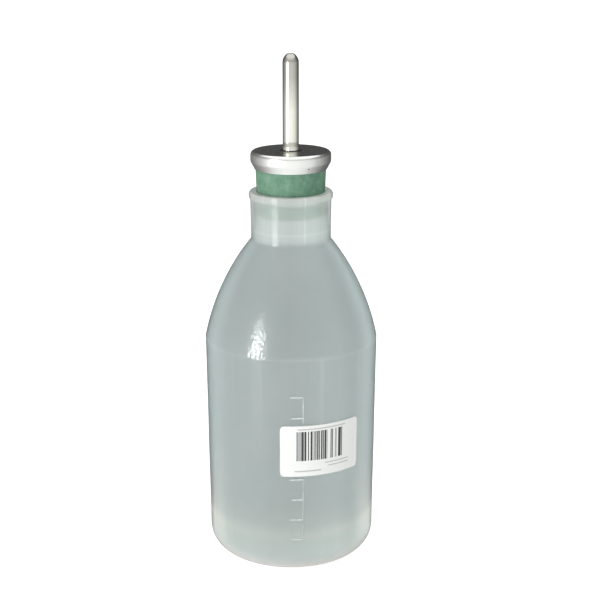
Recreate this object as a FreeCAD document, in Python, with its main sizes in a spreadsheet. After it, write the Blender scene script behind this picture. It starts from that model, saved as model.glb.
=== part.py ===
import FreeCAD, Part
import os
import re
import Sketcher
from FreeCAD import Placement, Rotation, Vector

# A graduated feeding bottle that is closed by a rubber stopper with a steel cap and drinking tube.
# Millimetres, +Z up. The origin is the centre of the base, on the surface that the bottle stands on.
# The moulded scale and the paper label are on the -Y side, and angles run from -Y towards +X.

SIZES = {
    # Bottle: blown plastic, a slightly flared wall under a domed shoulder and a calibrated neck.
    "base_ring_width": 6.7,       # flat ring that the bottle stands on
    "base_lift": 1.8,             # how far the middle of the base is pushed up
    "base_wall": 2.0,
    "body_wall": 1.8,
    "heel_round": 13.0,
    "shoulder_radius": 52.0,      # outside, at the crease where the dome starts
    "wall_flare": 1.3,            # how much narrower the wall is just above the heel
    "shoulder_height": 135.8,
    "dome_tall": 60.5,
    "dome_round": 141.0,          # radius of the dome's outline
    "neck_tall": 28.7,            # from the dome to the rim
    "neck_bore_radius": 20.6,
    "neck_bore_depth": 22.4,      # from the rim to a step, below which the neck is wider inside
    "neck_step_depth": 1.0,
    "neck_foot_wall": 3.2,        # over the calibrated bore, where the neck meets the dome
    "neck_top_wall": 3.5,
    "neck_foot_blend": 2.5,
    "rim_bead_wall": 4.15,
    "rim_bead_depth": 4.4,
    "rim_round": 1.1,
    "rim_edge_round": 0.5,
    # Moulded scale: raised cross marks joined by a thin upright line.
    "mark_first_height": 23.3,
    "mark_pitch": 12.9,
    "mark_proud": 0.35,
    "mark_tall": 1.2,
    "mark_short_sweep": 7.8,      # degrees
    "mark_long_sweep": 8.9,
    "scale_line_angle": 8.4,
    "scale_line_sweep": 0.7,
    "scale_root": 0.5,            # how deep the marks are let into the wall
    "scale_headroom": 12.0,       # the marks stop this far under the shoulder
    # Paper label stuck round the wall.
    "label_start_angle": -7.1,
    "label_sweep": 56.4,
    "label_low": 64.1,
    "label_tall": 31.7,
    "label_thickness": 0.15,
    "label_corner": 2.0,
    "label_margin": 1.5,          # the scale stops this far short of the label's edges
    "glue_gap": 0.02,
    # Rubber stopper: a tapered plug with a wider head that the cap holds.
    "seat_clearance": 0.3,        # round the stopper at the plane of the bottle's rim
    "stopper_taper": 2.4,         # degrees a side
    "stopper_depth": 14.4,        # length inside the neck
    "stopper_show": 13.3,         # length between the rim and the cap's lip
    "stopper_end_round": 1.0,
    "head_clearance": 0.2,
    # Steel cap: pressed sheet, its skirt drawn in under the stopper's head.
    "cap_tall": 10.6,
    "cap_wall": 0.5,
    "cap_round": 2.4,
    "cap_lip_gap": 0.576,         # from the stopper's side to the outside of the cap's lip
    "skirt_tall": 5.2,
    "skirt_slant": 28.0,          # degrees that the skirt leans in
    "skirt_round": 3.0,           # where the skirt meets the upright wall
    # Steel drinking tube, open at both ends, with a rounded tip.
    "tube_radius": 4.75,
    "tube_wall": 0.9,
    "tube_tail": 3.0,             # length below the stopper
    "tube_reach": 56.0,           # length above the cap
    "tube_clearance": 0.03,       # between the tube and the holes that it passes through
    "tip_tall": 5.0,
    "tip_land": 0.32,             # width of the tip's end face round its orifice
    "tip_orifice_radius": 1.75,
    "groove_height": 2.6,         # rolled groove above the cap
    "groove_tall": 0.5,
    "groove_depth": 0.1,
    # Braze that joins the tube to the cap.
    "braze_leg": 1.5,
    "braze_tall": 0.45,
    "braze_land": 0.15,
}
SKETCH_TURN = 270.0  # degrees that bring a sketch on the XZ plane round to angle 0, the -Y side

# Places that several sub-parts share, as expressions in the sizes.
HEEL_RADIUS = "(shoulder_radius - wall_flare)"
NECK_FOOT_HEIGHT = "(shoulder_height + dome_tall)"
RIM_HEIGHT = "(shoulder_height + dome_tall + neck_tall)"
STOPPER_SLOPE = "tan(stopper_taper * 1 deg)"
SEAT_RADIUS = "(neck_bore_radius - seat_clearance)"
CAP_LIP_RADIUS = f"({SEAT_RADIUS} + stopper_show * {STOPPER_SLOPE} + cap_lip_gap)"
SKIRT_SINE = "sin(skirt_slant * 1 deg)"
SKIRT_COSINE = "cos(skirt_slant * 1 deg)"
SKIRT_DEPTH = (f"(skirt_round * (1 - {SKIRT_COSINE}) + "
               f"(skirt_tall - skirt_round * {SKIRT_SINE}) * {SKIRT_SINE} / {SKIRT_COSINE})")
CAP_RADIUS = f"({CAP_LIP_RADIUS} + {SKIRT_DEPTH})"
TUBE_HOLE_RADIUS = "(tube_radius + tube_clearance)"

document = FreeCAD.newDocument("FeedingBottle")
sheet = document.addObject("Spreadsheet::Sheet", "Sizes")
for row, (size_name, size_value) in enumerate(SIZES.items(), start=1):
    sheet.set(f"A{row}", size_name)
    sheet.set(f"B{row}", str(size_value))
    sheet.setAlias(f"B{row}", size_name)
document.recompute()


def bound(expression):
    """The expression with each size's name made into a reference to its cell."""
    return re.sub(r"[a-z]+(?:_[a-z]+)+", r"Sizes.\g<0>", expression)


def value(expression):
    """What the expression comes to with the sheet's present numbers."""
    return float(sheet.evalExpression(bound(expression)))


def bind(feature, path, expression):
    feature.setExpression(path, bound(expression))


def new_body(label, seat_height="0"):
    """An empty body whose own z = 0 is at seat_height in the assembly."""
    body = document.addObject("PartDesign::Body", label)
    body.Label = label
    body.Placement = Placement(Vector(0, 0, value(seat_height)), Rotation())
    bind(body, "Placement.Base.z", seat_height)
    return body


def new_sketch(body, name, start_angle="0"):
    """A sketch on the body's XZ plane, turned about Z to start_angle: radius across, height up."""
    sketch = body.newObject("Sketcher::SketchObject", name)
    plane = next(item for item in body.Origin.OriginFeatures if item.Role == "XZ_Plane")
    sketch.AttachmentSupport = (plane, [""])
    sketch.MapMode = "FlatFace"
    turn = f"({start_angle} + {SKETCH_TURN})"
    sketch.AttachmentOffset = Placement(Vector(), Rotation(Vector(0, 1, 0), value(turn)))
    bind(sketch, "AttachmentOffset.Rotation.Angle", turn)
    return sketch


def arc_between(start, end, radius, side):
    """The short arc from start to end. It bulges to the right of the way there for side = 1."""
    chord = end - start
    across = Vector(chord.y, -chord.x, 0).normalize() * side
    rise = radius - (radius ** 2 - (chord.Length / 2) ** 2) ** 0.5
    middle = (start + end) * 0.5 + across * rise
    return Part.Arc(start, middle, end)


def draw_outline(sketch, corners):
    """Draw one closed outline, counter-clockwise, with every corner and radius bound to the sheet.

    A corner is (across, up) where a straight edge leaves it, or (across, up, "out" or "in", radius)
    where an arc does: "out" bulges away from the material and "in" bulges into it.
    """
    places = [Vector(value(corner[0]), value(corner[1]), 0) for corner in corners]
    edges = []
    for index, corner in enumerate(corners):
        start = places[index]
        end = places[(index + 1) % len(corners)]
        if len(corner) == 2:
            edge = sketch.addGeometry(Part.LineSegment(start, end), False)
        else:
            side = {"out": 1, "in": -1}[corner[2]]
            edge = sketch.addGeometry(arc_between(start, end, value(corner[3]), side), False)
            constrain(sketch, "Radius", (edge,), corner[3])
        start_point = 1 if (sketch.getPoint(edge, 1) - start).Length < (
            sketch.getPoint(edge, 2) - start).Length else 2
        edges.append((edge, start_point, 3 - start_point))
    for index, (across, up, *_) in enumerate(corners):
        edge, start_point, _ = edges[index]
        before, _, end_point = edges[index - 1]
        sketch.addConstraint(Sketcher.Constraint("Coincident", before, end_point, edge, start_point))
        constrain(sketch, "DistanceX", (-1, 1, edge, start_point), across)
        constrain(sketch, "DistanceY", (-1, 1, edge, start_point), up)


def constrain(sketch, kind, places, expression):
    """Add a dimension that follows the expression, or put the point on an axis where it is 0."""
    if expression == "0":
        axis = {"DistanceX": -2, "DistanceY": -1}[kind]
        sketch.addConstraint(Sketcher.Constraint("PointOnObject", *places[2:], axis))
        return
    index = sketch.addConstraint(Sketcher.Constraint(kind, *places, value(expression)))
    bind(sketch, f"Constraints[{index}]", expression)


def revolve(body, name, outlines, start_angle="0", sweep="360"):
    """Turn the outlines about Z, from start_angle through sweep degrees."""
    sketch = new_sketch(body, f"{name}_outline", start_angle)
    for corners in outlines:
        draw_outline(sketch, corners)
    feature = body.newObject("PartDesign::Revolution", name)
    feature.Profile = sketch
    feature.ReferenceAxis = (sketch, ["V_Axis"])
    bind(feature, "Angle", sweep)
    sketch.Visibility = False
    document.recompute()
    return feature


def round_edges(body, name, radius, chosen):
    """Fillet the edges of the body's last feature for which chosen(edge) is true."""
    base = body.Tip
    names = [f"Edge{number}" for number, edge in enumerate(base.Shape.Edges, start=1) if chosen(edge)]
    if not names:
        raise RuntimeError(f"{name}: no edge to round")
    feature = body.newObject("PartDesign::Fillet", name)
    feature.Base = (base, names)
    bind(feature, "Radius", radius)
    document.recompute()
    return feature


def ring_edge(radius, height):
    """A test for the full circle of that radius at that height."""
    def chosen(edge):
        if edge.Degenerated or not edge.isClosed() or not isinstance(edge.Curve, Part.Circle):
            return False
        off_radius = abs(edge.Curve.Radius - value(radius))
        off_height = abs(edge.Curve.Center.z - value(height))
        return off_radius < 0.001 and off_height < 0.001
    return chosen


def wall_radius(height):
    """The bottle's outside radius at a height between its heel and its shoulder."""
    return f"({HEEL_RADIUS} + (({height}) - heel_round) * wall_flare / (shoulder_height - heel_round))"


def wall_strip(low, high, inside, outside):
    """Outline of a strip that follows the wall, from inside to outside of its surface."""
    return [
        (f"{wall_radius(low)} + {inside}", low),
        (f"{wall_radius(low)} + {outside}", low),
        (f"{wall_radius(high)} + {outside}", high),
        (f"{wall_radius(high)} + {inside}", high),
    ]


def make_bottle():
    body = new_body("bottle")
    flat_radius = f"{HEEL_RADIUS} - heel_round"
    base_ring_radius = f"({flat_radius} - base_ring_width)"
    push_up_round = f"(({base_ring_radius}^2 + base_lift^2) / (2 * base_lift))"
    inner_heel = "heel_round - body_wall"
    neck_foot_radius = "neck_bore_radius + neck_foot_wall"
    bead_radius = "neck_bore_radius + rim_bead_wall"
    bead_low = f"{RIM_HEIGHT} - rim_bead_depth"
    step_height = f"{RIM_HEIGHT} - neck_bore_depth"
    foot_bore = "neck_bore_radius + neck_step_depth"
    revolve(body, "shell", [[
        ("0", "base_lift", "in", push_up_round),
        (base_ring_radius, "0"),
        (flat_radius, "0", "out", "heel_round"),
        (HEEL_RADIUS, "heel_round"),
        ("shoulder_radius", "shoulder_height", "out", "dome_round"),
        (neck_foot_radius, NECK_FOOT_HEIGHT),
        ("neck_bore_radius + neck_top_wall", bead_low),
        (bead_radius, bead_low),
        (bead_radius, RIM_HEIGHT),
        ("neck_bore_radius", RIM_HEIGHT),
        ("neck_bore_radius", step_height),
        (foot_bore, f"{step_height} - neck_step_depth"),
        (foot_bore, f"{NECK_FOOT_HEIGHT} - neck_step_depth", "in", "dome_round - body_wall"),
        ("shoulder_radius - body_wall", "shoulder_height"),
        (f"{HEEL_RADIUS} - body_wall", f"base_wall + {inner_heel}", "in", inner_heel),
        (flat_radius, "base_wall"),
        (base_ring_radius, "base_wall", "out", push_up_round),
        ("0", "base_lift + base_wall"),
    ]])
    round_edges(body, "neck_foot", "neck_foot_blend", ring_edge(neck_foot_radius, NECK_FOOT_HEIGHT))
    round_edges(body, "rim_outer_edge", "rim_round", ring_edge(bead_radius, RIM_HEIGHT))
    round_edges(body, "rim_inner_edge", "rim_edge_round", ring_edge("neck_bore_radius", RIM_HEIGHT))
    round_edges(body, "bead_lower_edge", "rim_edge_round", ring_edge(bead_radius, bead_low))
    add_scale(body)
    return body


def add_scale(body):
    """Raise the marks and their upright line on the wall. None is raised under the label."""
    label_from = "label_low - label_margin"
    label_to = "label_low + label_tall + label_margin"
    steps = int(value("(shoulder_height - scale_headroom - mark_first_height) / mark_pitch"))
    marks = {0: [], 1: []}
    for number in range(steps + 1):
        low = f"mark_first_height + {number} * mark_pitch - mark_tall / 2"
        high = f"mark_first_height + {number} * mark_pitch + mark_tall / 2"
        if value(high) < value(label_from) or value(low) > value(label_to):
            marks[number % 2].append(wall_strip(low, high, "-scale_root", "mark_proud"))
    for name, outlines, sweep in (
        ("short_marks", marks[0], "mark_short_sweep"),
        ("long_marks", marks[1], "mark_long_sweep"),
    ):
        revolve(body, name, outlines, f"scale_line_angle - {sweep}", sweep)
    last_height = f"mark_first_height + {steps} * mark_pitch"
    revolve(body, "scale_line", [
        wall_strip("mark_first_height", label_from, "-scale_root", "mark_proud"),
        wall_strip(label_to, last_height, "-scale_root", "mark_proud"),
    ], "scale_line_angle - scale_line_sweep", "scale_line_sweep")


def make_label():
    body = new_body("paper_label")
    outside = "(glue_gap + label_thickness)"
    strip = wall_strip("label_low", "label_low + label_tall", "glue_gap", outside)
    revolve(body, "sheet", [strip], "label_start_angle", "label_sweep")
    across_sheet = 1.5 * value("label_thickness")
    round_edges(body, "corners", "label_corner", lambda edge: edge.Length < across_sheet)
    return body


def make_stopper():
    """The plug's own z = 0 is its lower end, so the rim's plane is stopper_depth up."""
    body = new_body("rubber_stopper", f"{RIM_HEIGHT} - stopper_depth")
    head_low = "(stopper_depth + stopper_show + skirt_tall - head_clearance)"
    head_top = "stopper_depth + stopper_show + cap_tall - cap_wall"
    head_radius = f"{CAP_RADIUS} - cap_wall - head_clearance"
    end_radius = f"{SEAT_RADIUS} - stopper_depth * {STOPPER_SLOPE}"
    revolve(body, "plug", [[
        (TUBE_HOLE_RADIUS, "0"),
        (end_radius, "0"),
        (f"{SEAT_RADIUS} + ({head_low} - stopper_depth) * {STOPPER_SLOPE}", head_low),
        (head_radius, head_low),
        (head_radius, head_top),
        (TUBE_HOLE_RADIUS, head_top),
    ]])
    round_edges(body, "end_edge", "stopper_end_round", ring_edge(end_radius, "0"))
    round_edges(body, "head_edge", "cap_round - cap_wall", ring_edge(head_radius, head_top))
    return body


def make_cap():
    """The cap's own z = 0 is its lip."""
    body = new_body("steel_cap", f"{RIM_HEIGHT} + stopper_show")
    inner_round = "(skirt_round - cap_wall)"
    revolve(body, "shell", [[
        (TUBE_HOLE_RADIUS, "cap_tall - cap_wall"),
        (f"{CAP_RADIUS} - cap_round", "cap_tall - cap_wall", "in", "cap_round - cap_wall"),
        (f"{CAP_RADIUS} - cap_wall", "cap_tall - cap_round"),
        (f"{CAP_RADIUS} - cap_wall", "skirt_tall", "in", inner_round),
        (f"{CAP_RADIUS} - skirt_round + {inner_round} * {SKIRT_COSINE}",
         f"skirt_tall - {inner_round} * {SKIRT_SINE}"),
        (f"{CAP_LIP_RADIUS} - cap_wall * {SKIRT_COSINE}", f"cap_wall * {SKIRT_SINE}"),
        (CAP_LIP_RADIUS, "0"),
        (f"{CAP_RADIUS} - skirt_round * (1 - {SKIRT_COSINE})",
         f"skirt_tall - skirt_round * {SKIRT_SINE}", "out", "skirt_round"),
        (CAP_RADIUS, "skirt_tall"),
        (CAP_RADIUS, "cap_tall - cap_round", "out", "cap_round"),
        (f"{CAP_RADIUS} - cap_round", "cap_tall"),
        (TUBE_HOLE_RADIUS, "cap_tall"),
    ]])
    return body


def make_tube():
    """The tube's own z = 0 is its lower end, inside the bottle."""
    body = new_body("drinking_tube", f"{RIM_HEIGHT} - stopper_depth - tube_tail")
    cap_top = "(tube_tail + stopper_depth + stopper_show + cap_tall)"
    groove_middle = f"{cap_top} + groove_height"
    bore = "tube_radius - tube_wall"
    end_height = f"({cap_top} + tube_reach)"
    end_radius = "(tip_orifice_radius + tip_land)"
    tip_round = f"(((tube_radius - {end_radius})^2 + tip_tall^2) / (2 * (tube_radius - {end_radius})))"
    inner_round = f"({tip_round} - tube_wall)"
    orifice_height = f"sqrt({inner_round}^2 - (tip_orifice_radius - tube_radius + {tip_round})^2)"
    revolve(body, "wall", [[
        (bore, "0"),
        ("tube_radius", "0"),
        ("tube_radius", f"{groove_middle} - groove_tall / 2"),
        ("tube_radius - groove_depth", groove_middle),
        ("tube_radius", f"{groove_middle} + groove_tall / 2"),
        ("tube_radius", f"{end_height} - tip_tall", "out", tip_round),
        (end_radius, end_height),
        ("tip_orifice_radius", end_height),
        ("tip_orifice_radius", f"{end_height} - tip_tall + {orifice_height}", "in", inner_round),
        (bore, f"{end_height} - tip_tall"),
    ]])
    return body


def make_braze():
    """A low hollow fillet of braze round the tube's foot, standing on the cap."""
    body = new_body("braze_ring", f"{RIM_HEIGHT} + stopper_show + cap_tall")
    reach = "(braze_leg - braze_land)"
    rise = "(braze_tall - braze_land)"
    revolve(body, "fillet", [[
        (TUBE_HOLE_RADIUS, "0"),
        (f"{TUBE_HOLE_RADIUS} + braze_leg", "0"),
        (f"{TUBE_HOLE_RADIUS} + braze_leg", "braze_land", "in", f"({reach}^2 + {rise}^2) / (2 * {rise})"),
        (f"{TUBE_HOLE_RADIUS} + braze_land", "braze_tall"),
        (TUBE_HOLE_RADIUS, "braze_tall"),
    ]])
    return body


sub_parts = [make_bottle(), make_label(), make_stopper(), make_cap(), make_tube(), make_braze()]
document.recompute()

for item in document.Objects:
    if "Invalid" in item.State or "Error" in item.State:
        raise RuntimeError(f"{item.Label} did not recompute: {item.State}")
for part in sub_parts:
    if part.Shape.isNull() or not part.Shape.isValid() or len(part.Shape.Solids) != 1:
        raise RuntimeError(f"{part.Label} is not one valid solid")

os.makedirs("parts", exist_ok=True)
for part in sub_parts:
    part.Shape.exportStep(f"parts/{part.Label}.step")
    box = part.Shape.BoundBox
    print(f"{part.Label}: volume {part.Shape.Volume:.1f} mm3, z {box.ZMin:.2f} to {box.ZMax:.2f}")
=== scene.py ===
import math

import bmesh
import bpy
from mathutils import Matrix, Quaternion, Vector, noise


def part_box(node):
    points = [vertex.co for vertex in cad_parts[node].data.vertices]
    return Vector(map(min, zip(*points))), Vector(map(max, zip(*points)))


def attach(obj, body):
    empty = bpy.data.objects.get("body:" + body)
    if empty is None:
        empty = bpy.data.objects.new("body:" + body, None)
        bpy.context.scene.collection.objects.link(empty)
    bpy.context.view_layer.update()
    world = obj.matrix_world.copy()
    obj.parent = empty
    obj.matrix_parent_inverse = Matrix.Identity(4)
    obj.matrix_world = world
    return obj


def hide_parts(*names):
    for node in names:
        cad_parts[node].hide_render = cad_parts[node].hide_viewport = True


# Feeding bottle: the looks of its bottle, label, rubber stopper, steel cap, tube and braze.
# Outlines are in millimetres, radius across and height up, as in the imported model's own frame.
# Azimuths run from -Y, where the scale is, towards +X.

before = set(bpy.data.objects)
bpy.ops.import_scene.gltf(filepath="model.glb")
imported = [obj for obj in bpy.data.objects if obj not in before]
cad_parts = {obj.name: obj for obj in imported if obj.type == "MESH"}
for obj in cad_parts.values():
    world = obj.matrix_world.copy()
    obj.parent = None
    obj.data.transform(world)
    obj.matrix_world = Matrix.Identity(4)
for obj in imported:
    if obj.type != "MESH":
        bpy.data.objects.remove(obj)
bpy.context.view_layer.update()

MM = 0.001


def node_span(node):
    """The lowest and highest corners of a CAD node, in millimetres."""
    low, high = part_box(node)
    return Vector(low) / MM, Vector(high) / MM


# Sizes that the frame gives, in millimetres.
RIM_Z = node_span("bottle")[1].z
SHOULDER_RADIUS = node_span("bottle")[1].x
STOPPER_LOW_Z = node_span("rubber_stopper")[0].z
CAP_LIP_Z = node_span("steel_cap")[0].z
CAP_TOP_Z = node_span("steel_cap")[1].z
CAP_RADIUS = node_span("steel_cap")[1].x
TUBE_LOW_Z = node_span("drinking_tube")[0].z
TUBE_TOP_Z = node_span("drinking_tube")[1].z
TUBE_RADIUS = node_span("drinking_tube")[1].x
LABEL_LOW_Z = node_span("paper_label")[0].z
LABEL_HIGH_Z = node_span("paper_label")[1].z

# Radius of the hole for the tube in the stopper, the cap and the braze.
TUBE_HOLE = TUBE_RADIUS + 0.03

# Bottle, as in the CAD model.
WALL = 1.8
BASE_WALL = 2.0
BASE_LIFT = 1.8
BASE_RING_WIDTH = 6.7
HEEL_ROUND = 13.0
HEEL_RADIUS = SHOULDER_RADIUS - 1.3
SHOULDER_Z = 135.8
DOME_ROUND = 141.0
NECK_FOOT_Z = SHOULDER_Z + 60.5
BORE_RADIUS = 20.6
NECK_FOOT_RADIUS = BORE_RADIUS + 3.2
NECK_TOP_RADIUS = BORE_RADIUS + 3.5
BEAD_RADIUS = BORE_RADIUS + 4.15
BEAD_DEPTH = 4.4
STEP_Z = RIM_Z - 22.4
STEP_DEPTH = 1.0
CREASE_TALL = 0.4
MOULD_LINE_AZIMUTHS = (90, 270)
MOULD_LINE_PROUD = 0.09
MOULD_LINE_REACH = 0.8   # degrees to each side
FLASH_PROUD = 0.3
FLASH_REACH = 2.0        # degrees to each side
WALL_WAVES = 0.09
WALL_WAVE_LENGTH = 26.0
WALL_DRAWN_IN = 0.11     # keeps the wavy wall inside the CAD wall

CAP_WALL = 0.5

# The small dent on the cap, drawn by its material as a painted dark spot: radius, azimuth and height.
PIT_PLACE = (22.7, 27.0, 241.3)
PIT_REACH = 0.7

# Scale and label.
MARK_FIRST_Z = 23.3
MARK_PITCH = 12.9
MARK_COUNT = 8
MARK_TALL = 0.9
MARK_PROUD = 0.34
MARK_SUNK = 0.2
MARK_CHAMFER = 0.28      # share of a mark's narrower side
SCALE_LINE_AZIMUTH = 8.4
LONG_MARK_SWEEP = 8.9
SHORT_MARK_SWEEP = 7.8
SCALE_LINE_SWEEP = 0.55
LABEL_AZIMUTH = -7.1
LABEL_SWEEP = 56.4
LABEL_CORNER = 2.0
LABEL_GAP = 0.02
LABEL_THICKNESS = 0.15
LABEL_MARGIN = 1.5
BARS_AZIMUTH = 3.7
BARS_SWEEP = 32.4
BARS_Z = (73.9, 92.2)
BAR_COUNT = 95
PRINTED_RULES = (
    ((4.6, 38.0), (93.2, 93.9), 0.45),
    ((23.0, 41.0), (71.3, 71.9), 0.45),
    ((25.5, 41.0), (69.2, 69.8), 0.45),
    ((2.5, 20.5), (67.0, 67.7), 0.5),
)


# ---------------------------------------------------------------- outlines

def arc_between(start, end, radius, side, steps):
    """Points of the short arc from start to end, both left out. It bulges right of the way for side 1."""
    start, end = Vector(start), Vector(end)
    chord = end - start
    across = Vector((chord.y, -chord.x)).normalized() * side
    centre = (start + end) / 2 - across * math.sqrt(radius ** 2 - (chord.length / 2) ** 2)
    first = math.atan2(start.y - centre.y, start.x - centre.x)
    sweep = 2 * math.asin(chord.length / 2 / radius) * side
    angles = [first + sweep * step / steps for step in range(1, steps)]
    return [(centre.x + radius * math.cos(a), centre.y + radius * math.sin(a)) for a in angles]


def rounded(corners, closed):
    """Points of a polygon whose corners (across, up, round) are rounded off where round is not 0."""
    points = []
    count = len(corners)
    for index, (across, up, size) in enumerate(corners):
        here = Vector((across, up))
        if not size or (not closed and index in (0, count - 1)):
            points.append((across, up))
            continue
        before = Vector(corners[index - 1][:2]) - here
        after = Vector(corners[(index + 1) % count][:2]) - here
        half = before.angle(after) / 2
        reach = min(size / math.tan(half), 0.49 * before.length, 0.49 * after.length)
        start = here + before.normalized() * reach
        end = here + after.normalized() * reach
        side = 1 if before.cross(after) < 0 else -1
        turn = math.pi - 2 * half
        steps = max(2, round(turn / math.radians(15)))
        points.append(tuple(start))
        points += arc_between(start, end, reach * math.tan(half), side, steps)
        points.append(tuple(end))
    return points


def evenly(points, longest, closed):
    """The points with more on their long straight stretches."""
    result = []
    pairs = list(zip(points, points[1:] + points[:1])) if closed else list(zip(points, points[1:]))
    for start, end in pairs:
        start, end = Vector(start), Vector(end)
        steps = max(1, math.ceil((end - start).length / longest))
        result += [tuple(start.lerp(end, step / steps)) for step in range(steps)]
    return result if closed else result + [points[-1]]


# ---------------------------------------------------------------- meshes

def finish_mesh(name, mesh, body, material, node=None, sharp=35):
    """Put the mesh in the scene as a piece that rides on the body."""
    piece = bpy.data.objects.new(name, mesh)
    bpy.context.collection.objects.link(piece)
    mesh.shade_smooth()
    mesh.set_sharp_from_angle(angle=math.radians(sharp))
    mesh.materials.append(material)
    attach(piece, body)
    if node:
        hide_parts(node)
    return piece


def all_round(count, finer=()):
    """Azimuths in degrees all round, with closer ones beside those in finer."""
    azimuths = {round(360 * step / count, 3) for step in range(count)}
    for middle in finer:
        azimuths |= {(middle + offset) % 360 for offset in (-1.3, -0.8, -0.35, 0, 0.35, 0.8, 1.3)}
    return sorted(azimuths)


def polar(radius, azimuth, up):
    """The point in metres that is at the azimuth, in degrees."""
    angle = math.radians(azimuth)
    return Vector((radius * math.sin(angle), -radius * math.cos(angle), up)) * MM


def turn_outline(mesh_maker, outline, azimuths, closed, uneven=None):
    """Faces of the outline turned about Z. uneven(across, up, azimuth) gives a small offset outwards."""
    rings = []
    for across, up in outline:
        if across < 1e-6:
            rings.append([mesh_maker.verts.new((0, 0, up * MM))])
            continue
        ring = []
        for azimuth in azimuths:
            radius = across + (uneven(across, up, azimuth) if uneven else 0)
            ring.append(mesh_maker.verts.new(polar(radius, azimuth, up)))
        rings.append(ring)
    pairs = list(zip(rings, rings[1:] + rings[:1])) if closed else list(zip(rings, rings[1:]))
    for low, high in pairs:
        for step in range(len(azimuths)):
            after = (step + 1) % len(azimuths)
            corners = [low[step % len(low)], low[after % len(low)]]
            corners += [high[after % len(high)], high[step % len(high)]]
            corners = list(dict.fromkeys(corners))
            if len(corners) > 2:
                mesh_maker.faces.new(corners)


def close_mesh(name, mesh_maker):
    """The finished mesh, its faces all turned outwards."""
    bmesh.ops.recalc_face_normals(mesh_maker, faces=mesh_maker.faces)
    mesh = bpy.data.meshes.new(name)
    mesh_maker.to_mesh(mesh)
    mesh_maker.free()
    return mesh


def lathe(name, outline, segments, uneven=None):
    """A mesh of the closed outline turned about Z."""
    mesh_maker = bmesh.new()
    turn_outline(mesh_maker, outline, all_round(segments), True, uneven)
    return close_mesh(name, mesh_maker)


def wall_radius(up):
    """The bottle's outside radius between its heel and its shoulder."""
    return HEEL_RADIUS + (up - HEEL_ROUND) * (SHOULDER_RADIUS - HEEL_RADIUS) / (SHOULDER_Z - HEEL_ROUND)


def place_on_wall(azimuth, up, out):
    """A point out millimetres off the wall, in metres. The azimuth is in degrees."""
    return polar(wall_radius(up) + out, azimuth, up)


# ---------------------------------------------------------------- materials

WHITE = (1, 1, 1, 1)
BASE_PALENESS = (0.9, 0.9, 0.9, 1)

# Heights on the bottle as shares of the whole, for the plastic's colour ramps.
CREASE = SHOULDER_Z / RIM_Z
NECK_FOOT = NECK_FOOT_Z / RIM_Z
INNER_STEP = STEP_Z / RIM_Z


def new_material(name):
    material = bpy.data.materials.new(name)
    material.use_nodes = True
    tree = material.node_tree
    tree.nodes.clear()
    return material, tree


def set_input(tree, socket, given):
    """Link the given socket to this one, or set this one to the given value."""
    if isinstance(given, bpy.types.NodeSocket):
        tree.links.new(given, socket)
    else:
        socket.default_value = given


def add(tree, kind, inputs=None, **settings):
    """A node of that kind with its settings, its inputs given as values or as sockets to link."""
    node = tree.nodes.new(f"ShaderNode{kind}")
    for key, setting in settings.items():
        setattr(node, key, setting)
    for key, given in (inputs or {}).items():
        set_input(tree, node.inputs[key], given)
    return node


def ramp(tree, factor, *stops):
    """A colour ramp with stops (place, colour)."""
    node = add(tree, "ValToRGB", {"Fac": factor})
    elements = node.color_ramp.elements
    while len(elements) < len(stops):
        elements.new(0.5)
    for element, (place, colour) in zip(elements, stops):
        element.position = place
        element.color = (*colour, 1)
    return node.outputs["Color"]


def grey(level):
    return (level, level, level)


def grey_ramp(tree, factor, *stops):
    """A colour ramp of greys with stops (place, level)."""
    return ramp(tree, factor, *[(place, grey(level)) for place, level in stops])


def around_ramp(tree, once_round, levels):
    """A grey ramp once round, from pairs of an azimuth in degrees and a level."""
    return grey_ramp(tree, once_round, *[((azimuth + 180) / 360, level) for azimuth, level in levels])


def mix_colours(tree, share, first, second, blend="MIX"):
    node = add(tree, "Mix", data_type="RGBA", blend_type=blend)
    for index, given in ((0, share), (6, first), (7, second)):
        set_input(tree, node.inputs[index], given)
    return node.outputs[2]


def multiply(tree, first, second):
    """The product of two colours."""
    return mix_colours(tree, 1.0, first, second, "MULTIPLY")


def calculate(tree, operation, first, second):
    return add(tree, "Math", {0: first, 1: second}, operation=operation).outputs[0]


def object_coords(tree):
    """Where a point is on the piece, in metres."""
    return add(tree, "TexCoord").outputs["Object"]


def squeeze(tree, coords, scale):
    return add(tree, "Mapping", {"Vector": coords, "Scale": scale}).outputs["Vector"]


def cloud(tree, coords, scale, detail):
    """Noise from 0 to 1."""
    return add(tree, "TexNoise", {"Vector": coords, "Scale": scale, "Detail": detail}).outputs["Fac"]


def map_range(tree, value, low, high, to_low=0.0, to_high=1.0):
    limits = {"From Min": low, "From Max": high, "To Min": to_low, "To Max": to_high}
    return add(tree, "MapRange", {"Value": value, **limits}).outputs[0]


def bumped(tree, height, strength, distance, normal=None):
    """The normal of a relief that is distance metres deep, over another normal where one is given."""
    inputs = {"Height": height, "Strength": strength, "Distance": distance}
    if normal:
        inputs["Normal"] = normal
    return add(tree, "Bump", inputs).outputs["Normal"]


def facing_away(tree):
    """0 where the surface faces the eye, 1 where it is seen edge on."""
    return add(tree, "LayerWeight", {"Blend": 0.5}).outputs["Facing"]


def output(tree, shader):
    add(tree, "OutputMaterial", {"Surface": shader})


def azimuth_of(tree, coords):
    """The azimuth as turns, from -0.5 to 0.5, and the height in metres."""
    parts = add(tree, "SeparateXYZ", {"Vector": coords})
    front = calculate(tree, "MULTIPLY", parts.outputs["Y"], -1.0)
    angle = calculate(tree, "ARCTAN2", parts.outputs["X"], front)
    return calculate(tree, "DIVIDE", angle, 2 * math.pi), parts.outputs["Z"]
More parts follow.
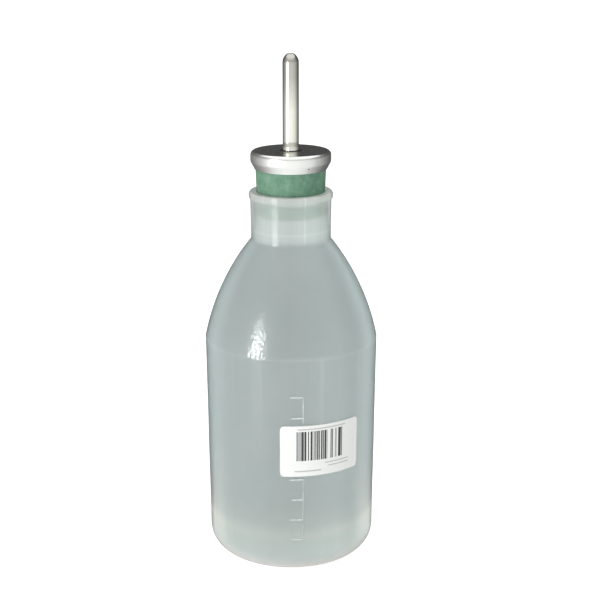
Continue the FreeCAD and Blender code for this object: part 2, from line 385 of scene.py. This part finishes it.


# Painted light and shade round the bottle, with the wall's own paleness in it: (azimuth in degrees, level).
# Set to the light and dark bands that the photo shows, many of them its lamps and not the wall.
WALL_PAINTED_LIGHT_AND_SHADE = (
    (-180, 0.85), (-110, 0.95), (-70, 0.95), (-60, 0.90), (-50, 0.86), (-38, 0.86), (-14, 0.83),
    (0, 0.84), (14, 0.93), (34, 1.07), (49, 1.0), (58, 1.06), (68, 1.16), (90, 1.16), (180, 0.85),
)

# Faint upright lines as a gain over the plain wall, partly die lines and partly painted reflections of
# upright lamps: (azimuth in degrees, gain).
DIE_LINES_AND_PAINTED_REFLECTIONS = (
    (-52, 1.0), (-51, 1.1), (-50, 1.0), (-42, 1.0), (-41, 1.13), (-40, 1.0), (-34, 1.0), (-33.2, 1.14),
    (-32.4, 1.0), (-27, 1.0), (-26, 1.12), (-20, 1.12), (-19.2, 1.26), (-18.4, 1.0), (11.6, 1.0),
    (12.2, 1.24), (12.8, 1.0), (19.4, 1.02), (20.1, 1.34), (20.8, 1.05), (21.4, 1.34), (22.0, 1.0),
    (49.5, 1.0), (50.5, 1.14), (51.5, 1.0),
)


def height_tints_and_painted_light():
    """Ramp stops up the bottle: painted light at the heel, a painted highlight on the crease, and a pale
    neck with a painted highlight line at its step.
    """
    body = (0.605, 0.705, 0.695)
    neck = (0.91, 0.975, 0.955)
    return (
        # The heel: painted floor light, then painted shade under a painted band of the far heel seen through
        # the wall.
        (0.0, (1.0, 1.0, 0.98)), (0.02, (0.95, 1.0, 0.97)), (0.05, (0.84, 0.94, 0.915)),
        (0.09, (0.80, 0.91, 0.87)), (0.115, (0.87, 0.95, 0.90)), (0.14, (0.72, 0.82, 0.80)),
        (0.2, (0.635, 0.74, 0.73)), (0.33, body),
        # Painted highlight along the crease.
        (CREASE - 0.003, body), (CREASE, (0.92, 1.0, 0.98)), (CREASE + 0.003, body),
        (0.865, body), (0.885, neck),
        # Painted highlight line at the inner step.
        (INNER_STEP - 0.003, neck), (INNER_STEP, (1.14, 1.21, 1.19)), (INNER_STEP + 0.003, neck),
        (0.93, neck), (0.945, (0.97, 1.0, 0.99)), (0.975, (0.97, 1.0, 0.99)), (0.985, (0.95, 0.98, 0.95)),
    )


def height_shares():
    """Ramp stops up the bottle for how milky the wall is: most where it is thick, with more at the heel for
    its painted floor light and a spike at the crease for its painted highlight.
    """
    return (
        (0.0, 0.80), (0.02, 0.62), (0.05, 0.54), (0.12, 0.50), (0.165, 0.38),
        (CREASE - 0.003, 0.40), (CREASE, 0.55), (CREASE + 0.003, 0.40), (0.86, 0.42), (0.885, 0.60),
        (INNER_STEP - 0.003, 0.60), (INNER_STEP, 0.66), (INNER_STEP + 0.003, 0.60), (0.93, 0.58),
        (0.945, 0.46), (0.972, 0.46), (0.98, 0.7), (1.0, 0.85),
    )


def plastic_tint(tree, coords, turns, level):
    """The plastic's colour: cloudy streaks, painted light and shade round the wall, upright lines that are
    partly die lines and partly painted reflections, and tints up the bottle with painted light at the heel,
    crease and step.
    """
    once_round = calculate(tree, "ADD", turns, 0.5)
    streaks = cloud(tree, squeeze(tree, coords, (1, 1, 0.03)), 130.0, 3.0)
    cloudy = grey_ramp(tree, streaks, (0.35, 0.97), (0.65, 1.0))
    has_lines = grey_ramp(tree, level, (0.3, 0.0), (0.5, 1.0), (CREASE - 0.002, 1.0), (CREASE + 0.002, 0.0),
                          (NECK_FOOT, 0.0), (NECK_FOOT + 0.008, 1.0))
    # Upright lines, partly die lines and partly painted reflections of upright lamps.
    lines = mix_colours(tree, has_lines, WHITE, around_ramp(tree, once_round, DIE_LINES_AND_PAINTED_REFLECTIONS))
    # Painted light and shade round the wall, a plain level on the base.
    off_base = grey_ramp(tree, level, (0.012, 0.0), (0.06, 1.0))
    painted_bands = mix_colours(tree, off_base, BASE_PALENESS, around_ramp(tree, once_round, WALL_PAINTED_LIGHT_AND_SHADE))
    tint = multiply(tree, cloudy, multiply(tree, painted_bands, lines))
    return multiply(tree, tint, ramp(tree, level, *height_tints_and_painted_light()))


def painted_edge_shade(tree, facing, level):
    """Painted shade where the plastic is seen edge on, a dark outline, with a painted pale band before it at
    the foot and softer shade at the neck.
    """
    plain = grey_ramp(tree, facing, (0.0, 0.87), (0.36, 0.88), (0.56, 0.95), (0.78, 0.95), (0.9, 0.68),
                      (1.0, 0.2))
    foot = ramp(tree, facing, (0.0, grey(0.87)), (0.36, grey(0.88)), (0.56, (1.0, 0.965, 0.96)),
                (0.75, (1.06, 0.98, 0.975)), (0.88, (0.68, 0.65, 0.65)), (1.0, grey(0.15)))
    neck = grey_ramp(tree, facing, (0.0, 0.92), (0.28, 0.92), (0.5, 0.86), (1.0, 0.4))
    on_foot = grey_ramp(tree, level, (0.1, 1.0), (0.3, 0.0))
    on_neck = grey_ramp(tree, level, (0.865, 0.0), (0.88, 1.0))
    return mix_colours(tree, on_neck, mix_colours(tree, on_foot, plain, foot), neck)


def plastic_gloss(tree, coords, level, facing):
    """The shader of the plastic's gloss, and its share."""
    grain = bumped(tree, cloud(tree, coords, 330.0, 3.0), 0.5, 0.0005)
    on_low_dome = grey_ramp(tree, level, (0.59, 0.0), (0.6, 1.0), (0.68, 1.0), (0.74, 0.0))
    peel = bumped(tree, cloud(tree, coords, 750.0, 1.0), on_low_dome, 0.00017, grain)
    polish = grey_ramp(tree, level, (0.6, 0.09), (0.68, 0.12), (0.74, 0.2), (0.89, 0.2))
    gloss = add(tree, "BsdfGlossy", {"Color": WHITE, "Roughness": polish, "Normal": peel})
    sheen = grey_ramp(tree, facing, (0.0, 0.04), (0.85, 0.05), (1.0, 0.16))
    softer = grey_ramp(tree, level, (0.87, 1.0), (0.88, 0.5))
    return gloss.outputs[0], multiply(tree, sheen, softer)


def plastic_material():
    """Milky plastic, part of it seen through, under a soft gloss."""
    material, tree = new_material("milky_plastic")
    coords = object_coords(tree)
    turns, height = azimuth_of(tree, coords)
    level = map_range(tree, height, 0.0, RIM_Z * MM)
    facing = facing_away(tree)
    # Painted shade: the tint darkens where the wall is seen edge on.
    edge = painted_edge_shade(tree, facing, level)
    tint = multiply(tree, plastic_tint(tree, coords, turns, level), edge)
    cover = add(tree, "BsdfDiffuse", {"Color": tint})
    glow = add(tree, "BsdfTranslucent", {"Color": tint})
    milk = add(tree, "MixShader", {"Fac": 0.5, 1: cover.outputs[0], 2: glow.outputs[0]})
    clear = add(tree, "BsdfRefraction", {"Color": edge, "Roughness": 0.35, "IOR": 1.08})
    share = grey_ramp(tree, level, *height_shares())
    body = add(tree, "MixShader", {"Fac": share, 1: clear.outputs[0], 2: milk.outputs[0]})
    gloss, sheen = plastic_gloss(tree, coords, level, facing)
    mixed = add(tree, "MixShader", {"Fac": sheen, 1: body.outputs[0], 2: gloss})
    output(tree, mixed.outputs[0])
    return material


def mark_material():
    material, tree = new_material("raised_mark")
    tint = ramp(tree, cloud(tree, object_coords(tree), 400.0, 2.0),
                (0.3, (0.40, 0.45, 0.44)), (0.7, (0.56, 0.60, 0.59)))
    solid = add(tree, "BsdfPrincipled", {"Base Color": tint, "Roughness": 0.25})
    output(tree, solid.outputs[0])
    return material


def between(tree, value, low, high):
    """1 where the value lies between low and high, else 0."""
    above = calculate(tree, "GREATER_THAN", value, low)
    below = calculate(tree, "LESS_THAN", value, high)
    return calculate(tree, "MULTIPLY", above, below)


def printed_block(tree, turns, height, sides, ends):
    """1 inside a block that spans azimuths, in degrees, and heights, in millimetres."""
    across = between(tree, turns, sides[0] / 360, sides[1] / 360)
    along = between(tree, height, ends[0] * MM, ends[1] * MM)
    return calculate(tree, "MULTIPLY", across, along)


def ink_on_paper(tree, turns, height):
    """How much ink there is: a plain block of bars and a few plain rules."""
    column = calculate(tree, "MULTIPLY", turns, BAR_COUNT * 360 / BARS_SWEEP)
    column = add(tree, "Math", {0: column}, operation="FLOOR").outputs[0]
    dice = add(tree, "TexWhiteNoise", {"W": column}, noise_dimensions="1D").outputs["Value"]
    bars = calculate(tree, "LESS_THAN", dice, 0.5)
    block = printed_block(tree, turns, height, (BARS_AZIMUTH, BARS_AZIMUTH + BARS_SWEEP), BARS_Z)
    ink = calculate(tree, "MULTIPLY", bars, block)
    for sides, ends, strength in PRINTED_RULES:
        rule = calculate(tree, "MULTIPLY", printed_block(tree, turns, height, sides, ends), strength)
        ink = calculate(tree, "MAXIMUM", ink, rule)
    return ink


def paper_material():
    """White paper with its print."""
    material, tree = new_material("paper")
    coords = object_coords(tree)
    fibre = cloud(tree, coords, 1500.0, 4.0)
    white = ramp(tree, fibre, (0.3, (0.65, 0.66, 0.645)), (0.7, (0.705, 0.715, 0.7)))
    tint = mix_colours(tree, ink_on_paper(tree, *azimuth_of(tree, coords)), white, (0.035, 0.035, 0.04, 1))
    bump = bumped(tree, fibre, 0.15, 0.0001)
    solid = add(tree, "BsdfPrincipled", {"Base Color": tint, "Roughness": 0.6, "Normal": bump})
    output(tree, solid.outputs[0])
    return material


def rubber_material():
    """Green rubber with a chalky bloom and fine slanting scuffs, paler and greener where the neck covers it
    as painted light through the milky neck.
    """
    material, tree = new_material("chalky_rubber")
    coords = object_coords(tree)
    blotches = add(tree, "TexNoise", {"Vector": coords, "Scale": 190.0, "Detail": 6.0, "Roughness": 0.6})
    blotch = blotches.outputs["Fac"]
    tint = ramp(tree, blotch, (0.3, (0.062, 0.168, 0.10)), (0.5, (0.092, 0.212, 0.133)),
                (0.72, (0.138, 0.262, 0.18)))
    turned = add(tree, "Mapping", {"Vector": coords, "Rotation": (0, 0.8, 0)}).outputs["Vector"]
    scuffs = cloud(tree, squeeze(tree, turned, (1, 1, 0.25)), 900.0, 2.0)
    tint = multiply(tree, tint, grey_ramp(tree, scuffs, (0.5, 1.0), (0.68, 0.84)))
    up = add(tree, "SeparateXYZ", {"Vector": coords}).outputs["Z"]
    # Painted light: the rubber is paler and greener where the neck covers it.
    painted_light_in_neck = map_range(tree, up, (RIM_Z - 1.5) * MM, (RIM_Z - 3.5) * MM)
    tint = mix_colours(tree, painted_light_in_neck, tint, multiply(tree, tint, (1.25, 1.8, 1.65, 1)))
    bump = bumped(tree, blotch, 0.2, 0.0004)
    solid = add(tree, "BsdfPrincipled", {"Base Color": tint, "Roughness": 0.6, "Normal": bump})
    output(tree, solid.outputs[0])
    return material


def steel_colour(tree, coords, tint, painted_dark_edge, painted_shade_heights, pit):
    """The tint, with painted shade edge on, painted shade along the piece and a painted dark spot at its
    dent, as steel_material says.
    """
    # Painted dark reflection where the surface turns away.
    shade = grey_ramp(tree, facing_away(tree), (0.3, 1.0), (0.7, painted_dark_edge))
    colour = multiply(tree, shade, (*tint, 1))
    # Painted shade along the piece.
    if painted_shade_heights:
        (low, low_tint), (high, high_tint) = painted_shade_heights
        up = add(tree, "SeparateXYZ", {"Vector": coords}).outputs["Z"]
        along = map_range(tree, up, low, high)
        colour = multiply(tree, colour, grey_ramp(tree, along, (0.0, low_tint), (1.0, high_tint)))
    # A painted dark spot where the dent is.
    if pit:
        apart = add(tree, "VectorMath", {0: coords, 1: pit}, operation="DISTANCE").outputs["Value"]
        away = map_range(tree, apart, 0.0, PIT_REACH * MM)
        colour = multiply(tree, colour, grey_ramp(tree, away, (0.5, 0.12), (1.0, 1.0)))
    return colour


def steel_material(name, tint, rough, stretch=(1, 1, 1), relief=0.06, waves=0.0, painted_dark_edge=1.0,
                   painted_shade_heights=None, pit=None):
    """Polished steel with fine lines; stretch squeezes the noise that makes them.

    waves is the depth, in metres, of the slow waves that pressing leaves; painted_dark_edge is the tint of a
    painted dark reflection where the surface turns away; heights gives two (metres, tint) pairs along the
    piece, a painted shade; pit is the place of one small dent, drawn as a painted dark spot.
    """
    material, tree = new_material(name)
    coords = object_coords(tree)
    lines = cloud(tree, squeeze(tree, coords, stretch), 600.0, 3.0)
    roughness = map_range(tree, lines, 0.0, 1.0, rough * 0.75, rough * 1.3)
    wavy = bumped(tree, cloud(tree, coords, 110.0, 1.0), 1.0, waves)
    solid = add(tree, "BsdfPrincipled", {
        "Base Color": steel_colour(tree, coords, tint, painted_dark_edge, painted_shade_heights, pit),
        "Metallic": 1.0,
        "Roughness": roughness,
        "Normal": bumped(tree, lines, relief, 0.0001, wavy),
    })
    output(tree, solid.outputs[0])
    return material


# ---------------------------------------------------------------- pieces

def bottle_outline():
    """From the middle of the base's underside, up the outside, over the rim and down the inside."""
    flat_radius = HEEL_RADIUS - HEEL_ROUND
    ring_radius = flat_radius - BASE_RING_WIDTH
    lift_round = (ring_radius ** 2 + BASE_LIFT ** 2) / (2 * BASE_LIFT)
    foot_bore = BORE_RADIUS + STEP_DEPTH
    inner_heel = HEEL_ROUND - WALL
    inner_foot = (foot_bore, NECK_FOOT_Z - STEP_DEPTH)
    inner_shoulder = (SHOULDER_RADIUS - WALL, SHOULDER_Z)
    inner_wall = (HEEL_RADIUS - WALL, BASE_WALL + inner_heel)
    outside = [(0, BASE_LIFT)]
    outside += arc_between((0, BASE_LIFT), (ring_radius, 0), lift_round, -1, 10)
    outside += [(ring_radius, 0), (flat_radius, 0)]
    outside += arc_between((flat_radius, 0), (HEEL_RADIUS, HEEL_ROUND), HEEL_ROUND, 1, 16)
    outside += [(HEEL_RADIUS, HEEL_ROUND)]
    outside += [(wall_radius(SHOULDER_Z - CREASE_TALL), SHOULDER_Z - CREASE_TALL)]
    outside += [(SHOULDER_RADIUS, SHOULDER_Z)]
    outside += arc_between((SHOULDER_RADIUS, SHOULDER_Z), (NECK_FOOT_RADIUS, NECK_FOOT_Z), DOME_ROUND, 1, 24)
    neck = rounded([
        (*outside[-1], 0),
        (NECK_FOOT_RADIUS, NECK_FOOT_Z, 2.5),
        (NECK_TOP_RADIUS, RIM_Z - BEAD_DEPTH, 0.5),
        (BEAD_RADIUS, RIM_Z - BEAD_DEPTH, 0.5),
        (BEAD_RADIUS, RIM_Z, 1.1),
        (BORE_RADIUS, RIM_Z, 0.5),
        (BORE_RADIUS, STEP_Z, 0),
        (foot_bore, STEP_Z - STEP_DEPTH, 0),
        (*inner_foot, 0),
    ], closed=False)[1:]
    inside = arc_between(inner_foot, inner_shoulder, DOME_ROUND - WALL, -1, 24)
    inside += [inner_shoulder, inner_wall]
    inside += arc_between(inner_wall, (flat_radius, BASE_WALL), inner_heel, -1, 12)
    inside += [(flat_radius, BASE_WALL), (ring_radius, BASE_WALL)]
    inside += arc_between((ring_radius, BASE_WALL), (0, BASE_WALL + BASE_LIFT), lift_round, 1, 10)
    inside += [(0, BASE_WALL + BASE_LIFT)]
    return evenly(outside + neck + inside, 4.0, closed=False)


def wall_offset(across, up, azimuth):
    """How far a wall that isn't quite even lies out, with its two mould lines."""
    clear_of_ends = 1.0
    place = polar(across, azimuth, up) / MM
    offset = WALL_WAVES * noise.noise(place / WALL_WAVE_LENGTH) - WALL_DRAWN_IN
    from_line = min(abs(azimuth - azimuth_of_line) for azimuth_of_line in MOULD_LINE_AZIMUTHS)
    outside_from = wall_radius(up) - 0.5 if up < SHOULDER_Z else BORE_RADIUS + 2.5
    below_top = up < RIM_Z - clear_of_ends
    if across > outside_from and clear_of_ends < up and below_top:
        offset += MOULD_LINE_PROUD * max(0.0, 1 - from_line / MOULD_LINE_REACH)
    if across > outside_from and RIM_Z - BEAD_DEPTH < up and below_top:
        offset += FLASH_PROUD * max(0.0, 1 - from_line / FLASH_REACH)
    return offset


def make_bottle(material):
    mesh_maker = bmesh.new()
    azimuths = all_round(200, MOULD_LINE_AZIMUTHS)
    turn_outline(mesh_maker, bottle_outline(), azimuths, False, wall_offset)
    mesh = close_mesh("bottle_shell", mesh_maker)
    return finish_mesh("bottle_shell", mesh, "bottle_body", material, "bottle", sharp=60)


def add_strip(mesh_maker, azimuth_from, azimuth_to, low, high):
    """One raised strip on the wall with its outer edges drawn in."""
    degrees_per_step = 1.5
    rim = MARK_CHAMFER * min(high - low, math.radians(azimuth_to - azimuth_from) * SHOULDER_RADIUS)
    turn = math.degrees(rim / SHOULDER_RADIUS)
    steps = max(2, round((azimuth_to - azimuth_from) / degrees_per_step))
    rows = []
    for inset, out in ((0, -MARK_SUNK), (0, MARK_PROUD / 2), (1, MARK_PROUD)):
        for side in (low + inset * rim, high - inset * rim):
            row = []
            for step in range(steps + 1):
                share = step / steps
                azimuth = (azimuth_from + inset * turn) * (1 - share) + (azimuth_to - inset * turn) * share
                row.append(mesh_maker.verts.new(place_on_wall(azimuth, side, out)))
            rows.append(row)
    loop = [rows[0], rows[2], rows[4], rows[5], rows[3], rows[1]]
    for first, second in zip(loop, loop[1:] + loop[:1]):
        for step in range(steps):
            mesh_maker.faces.new((first[step], first[step + 1], second[step + 1], second[step]))
    for end in (0, -1):
        mesh_maker.faces.new([row[end] for row in loop])


def make_marks(material):
    """The raised scale: strips beside one upright line, with none where the label is."""
    mesh_maker = bmesh.new()
    label_from = LABEL_LOW_Z - LABEL_MARGIN
    label_to = LABEL_HIGH_Z + LABEL_MARGIN
    for number in range(MARK_COUNT):
        middle = MARK_FIRST_Z + number * MARK_PITCH
        if label_from < middle < label_to:
            continue
        sweep = LONG_MARK_SWEEP if number % 2 else SHORT_MARK_SWEEP
        add_strip(mesh_maker, SCALE_LINE_AZIMUTH - sweep, SCALE_LINE_AZIMUTH,
                  middle - MARK_TALL / 2, middle + MARK_TALL / 2)
    last = MARK_FIRST_Z + (MARK_COUNT - 1) * MARK_PITCH
    for low, high in ((MARK_FIRST_Z, label_from), (label_to, last)):
        add_strip(mesh_maker, SCALE_LINE_AZIMUTH - SCALE_LINE_SWEEP, SCALE_LINE_AZIMUTH, low, high)
    mesh = close_mesh("scale_marks", mesh_maker)
    return finish_mesh("scale_marks", mesh, "bottle_body", material)


def make_label(material):
    """A thin sheet round the wall, its corners rounded."""
    mesh_maker = bmesh.new()
    width = math.radians(LABEL_SWEEP) * wall_radius((LABEL_LOW_Z + LABEL_HIGH_Z) / 2)
    height = LABEL_HIGH_Z - LABEL_LOW_Z
    columns, rows = 48, 24
    grids = []
    for out in (LABEL_GAP, LABEL_THICKNESS):
        grid = []
        for column in range(columns + 1):
            line = []
            across = width * column / columns
            to_side = min(across, width - across)
            drop = 0.0
            if to_side < LABEL_CORNER:
                drop = LABEL_CORNER - math.sqrt(LABEL_CORNER ** 2 - (LABEL_CORNER - to_side) ** 2)
            for row in range(rows + 1):
                up = LABEL_LOW_Z + drop + (height - 2 * drop) * row / rows
                azimuth = LABEL_AZIMUTH + LABEL_SWEEP * column / columns
                line.append(mesh_maker.verts.new(place_on_wall(azimuth, up, out)))
            grid.append(line)
        grids.append(grid)
    inner, outer = grids
    for column in range(columns):
        for row in range(rows):
            for grid in grids:
                mesh_maker.faces.new((grid[column][row], grid[column + 1][row],
                                      grid[column + 1][row + 1], grid[column][row + 1]))
    edge = [(column, 0) for column in range(columns)] + [(columns, row) for row in range(rows)]
    edge += [(column, rows) for column in range(columns, 0, -1)] + [(0, row) for row in range(rows, 0, -1)]
    for (column, row), (next_column, next_row) in zip(edge, edge[1:] + edge[:1]):
        mesh_maker.faces.new((inner[column][row], inner[next_column][next_row],
                              outer[next_column][next_row], outer[column][row]))
    mesh = close_mesh("label_sheet", mesh_maker)
    return finish_mesh("label_sheet", mesh, "bottle_body", material, "paper_label")


def make_stopper(material):
    """A tapered plug whose wider head fills the cap."""
    taper, neck_gap, head_above_lip, head_gap = math.radians(2.4), 0.3, 5.0, 0.2
    ripple, ripple_length = 0.06, 5.0
    slope = math.tan(taper)
    seat = BORE_RADIUS - neck_gap
    head_low = CAP_LIP_Z + head_above_lip
    head_radius = CAP_RADIUS - CAP_WALL - head_gap
    top = CAP_TOP_Z - CAP_WALL
    outline = rounded([
        (TUBE_HOLE, STOPPER_LOW_Z, 0),
        (seat - (RIM_Z - STOPPER_LOW_Z) * slope, STOPPER_LOW_Z, 1.0),
        (seat + (head_low - RIM_Z) * slope, head_low, 0),
        (head_radius, head_low, 0.3),
        (head_radius, top, 1.9),
        (TUBE_HOLE, top, 0),
    ], closed=True)

    def uneven(across, up, azimuth):
        return ripple * noise.noise(polar(across, azimuth, up) / MM / ripple_length)
    mesh = lathe("stopper_plug", evenly(outline, 1.5, closed=True), 144, uneven)
    return finish_mesh("stopper_plug", mesh, "stopper_body", material, "rubber_stopper")


def make_cap(material):
    """A pressed cap with a round top edge and a skirt that leans inwards."""
    top_round, skirt_tall, skirt_round, lean = 2.4, 5.2, 3.0, math.radians(28)
    sine, cosine = math.sin(lean), math.cos(lean)
    skirt_z = CAP_LIP_Z + skirt_tall
    lip_radius = CAP_RADIUS - skirt_round * (1 - cosine) - (skirt_tall - skirt_round * sine) * sine / cosine
    inner_round = skirt_round - CAP_WALL
    bend_radius = CAP_RADIUS - skirt_round
    inner_wall = CAP_RADIUS - CAP_WALL
    under = CAP_TOP_Z - CAP_WALL
    shoulder = CAP_TOP_Z - top_round
    inner_bend = (bend_radius + inner_round * cosine, skirt_z - inner_round * sine)
    outer_bend = (bend_radius + skirt_round * cosine, skirt_z - skirt_round * sine)
    outline = [(TUBE_HOLE, under), (CAP_RADIUS - top_round, under)]
    outline += arc_between(outline[-1], (inner_wall, shoulder), top_round - CAP_WALL, -1, 8)
    outline += [(inner_wall, shoulder), (inner_wall, skirt_z)]
    outline += arc_between((inner_wall, skirt_z), inner_bend, inner_round, -1, 4)
    outline += [inner_bend, (lip_radius - CAP_WALL * cosine, CAP_LIP_Z + CAP_WALL * sine)]
    outline += [(lip_radius, CAP_LIP_Z), outer_bend]
    outline += arc_between(outer_bend, (CAP_RADIUS, skirt_z), skirt_round, 1, 5)
    outline += [(CAP_RADIUS, skirt_z), (CAP_RADIUS, shoulder)]
    outline += arc_between((CAP_RADIUS, shoulder), (CAP_RADIUS - top_round, CAP_TOP_Z), top_round, 1, 12)
    outline += [(CAP_RADIUS - top_round, CAP_TOP_Z), (TUBE_HOLE, CAP_TOP_Z)]
    mesh = lathe("cap_shell", evenly(outline, 1.5, closed=True), 192)
    return finish_mesh("cap_shell", mesh, "stopper_body", material, "steel_cap")


def make_tube(material):
    """A straight tube with a fine groove above the cap and a rounded, open tip."""
    wall, tip_tall, land, orifice = 0.9, 5.0, 0.32, 1.75
    groove_z, groove_half, groove_deep = CAP_TOP_Z + 2.6, 0.25, 0.1
    end = orifice + land
    tip_round = ((TUBE_RADIUS - end) ** 2 + tip_tall ** 2) / (2 * (TUBE_RADIUS - end))
    inner_round = tip_round - wall
    tip_z = TUBE_TOP_Z - tip_tall
    orifice_z = tip_z + math.sqrt(inner_round ** 2 - (orifice - TUBE_RADIUS + tip_round) ** 2)
    bore = TUBE_RADIUS - wall
    outline = [(bore, TUBE_LOW_Z), (TUBE_RADIUS, TUBE_LOW_Z)]
    outline += [(TUBE_RADIUS, groove_z - groove_half), (TUBE_RADIUS - groove_deep, groove_z)]
    outline += [(TUBE_RADIUS, groove_z + groove_half)]
    outline += [(TUBE_RADIUS, tip_z)]
    outline += arc_between((TUBE_RADIUS, tip_z), (end, TUBE_TOP_Z), tip_round, 1, 16)
    outline += [(end, TUBE_TOP_Z), (orifice, TUBE_TOP_Z), (orifice, orifice_z)]
    outline += arc_between((orifice, orifice_z), (bore, tip_z), inner_round, -1, 8)
    outline += [(bore, tip_z)]
    mesh = lathe("tube_wall", evenly(outline, 4.0, closed=True), 96)
    return finish_mesh("tube_wall", mesh, "stopper_body", material, "drinking_tube")


def make_braze(material):
    """A low hollow fillet between the tube and the cap."""
    leg, tall, land = 1.5, 0.45, 0.15
    reach, rise = leg - land, tall - land
    outline = [(TUBE_HOLE, CAP_TOP_Z), (TUBE_HOLE + leg, CAP_TOP_Z), (TUBE_HOLE + leg, CAP_TOP_Z + land)]
    top = (TUBE_HOLE + land, CAP_TOP_Z + tall)
    outline += arc_between(outline[-1], top, (reach ** 2 + rise ** 2) / (2 * rise), -1, 6)
    outline += [top, (TUBE_HOLE, CAP_TOP_Z + tall)]
    mesh = lathe("braze_fillet", outline, 72)
    return finish_mesh("braze_fillet", mesh, "stopper_body", material, "braze_ring")


# ---------------------------------------------------------------- studio

FLOOR_GLOW = 0.7
# How bright the room is as the steel and the gloss see it: (azimuth in degrees, level).
ROOM = ((-180, 0.05), (-155, 0.18), (-128, 0.3), (-94, 0.6), (-62, 1.1), (-30, 1.25), (20, 1.2), (41, 1.05),
        (63, 0.95), (82, 0.6), (100, 0.42), (128, 0.18), (180, 0.05))
CAMERA_PLACE = (0.0054, -0.7886, 0.3855)
CAMERA_PITCH = 16.13   # degrees below the horizon
CAMERA_LENS = 81.42    # millimetres, on a sensor 36 mm wide


def make_camera():
    data = bpy.data.cameras.new("camera")
    data.lens = CAMERA_LENS
    data.sensor_width = 36.0
    camera = bpy.data.objects.new("camera", data)
    camera.location = CAMERA_PLACE
    camera.rotation_euler = (math.radians(90 - CAMERA_PITCH), 0, 0)
    bpy.context.collection.objects.link(camera)
    bpy.context.scene.camera = camera


def make_floor():
    """A pale table, faintly lit from below so that it stays even."""
    mesh_maker = bmesh.new()
    reach = 6.0
    corners = [mesh_maker.verts.new((x, y, -0.0002)) for x, y in
               ((-reach, -reach), (reach, -reach), (reach, reach), (-reach, reach))]
    mesh_maker.faces.new(corners)
    mesh = bpy.data.meshes.new("floor")
    mesh_maker.to_mesh(mesh)
    mesh_maker.free()
    floor = bpy.data.objects.new("floor", mesh)
    bpy.context.collection.objects.link(floor)
    material, tree = new_material("pale_floor")
    sheet = add(tree, "BsdfDiffuse", {"Color": (0.5, 0.5, 0.5, 1)})
    lit = add(tree, "Emission", {"Color": WHITE, "Strength": FLOOR_GLOW})
    both = add(tree, "AddShader", {0: sheet.outputs[0], 1: lit.outputs[0]})
    output(tree, both.outputs[0])
    mesh.materials.append(material)


def make_light(name, azimuth, elevation, distance, size, power, roll):
    """A softbox that faces the bottle's middle. The azimuth runs from -Y towards +X."""
    data = bpy.data.lights.new(name, "AREA")
    data.shape = "ELLIPSE"
    data.size, data.size_y = size
    data.energy = power
    light = bpy.data.objects.new(name, data)
    turn, rise = math.radians(azimuth), math.radians(elevation)
    middle = Vector((0, 0, 0.15))
    away = Vector((math.sin(turn) * math.cos(rise), -math.cos(turn) * math.cos(rise), math.sin(rise)))
    light.location = middle + away * distance
    light.visible_camera = False
    aim = (-away).to_track_quat("-Z", "Y")
    light.rotation_euler = (aim @ Quaternion((0, 0, 1), math.radians(roll))).to_euler()
    bpy.context.collection.objects.link(light)


def make_surround():
    """The room as the steel and the gloss see it: bright in front, dark behind."""
    mesh_maker = bmesh.new()
    outline = ((90, 0.4), (300, 0.4), (700, 0.4), (700, 300), (700, 600), (700, 900))
    turn_outline(mesh_maker, outline, all_round(72), False)
    mesh = close_mesh("surround", mesh_maker)
    material, tree = new_material("room")
    turns, height = azimuth_of(tree, object_coords(tree))
    around = around_ramp(tree, calculate(tree, "ADD", turns, 0.5), ROOM)
    upward = grey_ramp(tree, height, (0.2, 1.0), (0.45, 0.6), (0.9, 0.9))
    colour = multiply(tree, around, upward)
    output(tree, add(tree, "Emission", {"Color": colour, "Strength": 1.0}).outputs[0])
    mesh.materials.append(material)
    surround = bpy.data.objects.new("surround", mesh)
    bpy.context.collection.objects.link(surround)
    surround.visible_camera = False
    surround.visible_diffuse = False
    surround.visible_transmission = False
    surround.visible_shadow = False


def make_world():
    """Soft light from all round, most from above; past the floor's end the camera sees plain white."""
    world = bpy.data.worlds.new("studio")
    bpy.context.scene.world = world
    world.use_nodes = True
    tree = world.node_tree
    tree.nodes.clear()
    ray = add(tree, "TexCoord").outputs["Generated"]
    rise = add(tree, "SeparateXYZ", {"Vector": ray}).outputs["Z"]
    sky = grey_ramp(tree, rise, (0.35, 0.32), (0.8, 0.92))
    light = add(tree, "Background", {"Color": sky, "Strength": 1.6})
    plain = add(tree, "Background", {"Color": WHITE, "Strength": 1.0})
    seen = add(tree, "LightPath").outputs["Is Camera Ray"]
    both = add(tree, "MixShader", {"Fac": seen, 1: light.outputs[0], 2: plain.outputs[0]})
    add(tree, "OutputWorld", {"Surface": both.outputs[0]})


bpy.context.scene.view_settings.view_transform = "Standard"
make_camera()
make_floor()
make_world()
make_light("key", azimuth=-45, elevation=4, distance=0.65, size=(0.14, 0.32), power=2.1, roll=-12)
make_surround()

make_bottle(plastic_material())
make_marks(mark_material())
make_label(paper_material())
make_stopper(rubber_material())
make_cap(steel_material("cap_steel", tint=(0.76, 0.77, 0.74), rough=0.22, relief=0.01, waves=0.00035,
                        pit=polar(*PIT_PLACE)))
# The tube's darker edges and darker upper end are painted dark reflections, and its warm tint is partly a
# painted warm reflection.
make_tube(steel_material("tube_steel", tint=(0.78, 0.765, 0.69), rough=0.17, stretch=(1, 1, 0.02),
                         painted_dark_edge=0.62, painted_shade_heights=((0.272, 1.0), (0.292, 0.6))))
# Nearly black, as dark as the ring round the tube's foot.
make_braze(steel_material("braze_metal", tint=(0.06, 0.058, 0.05), rough=0.45))
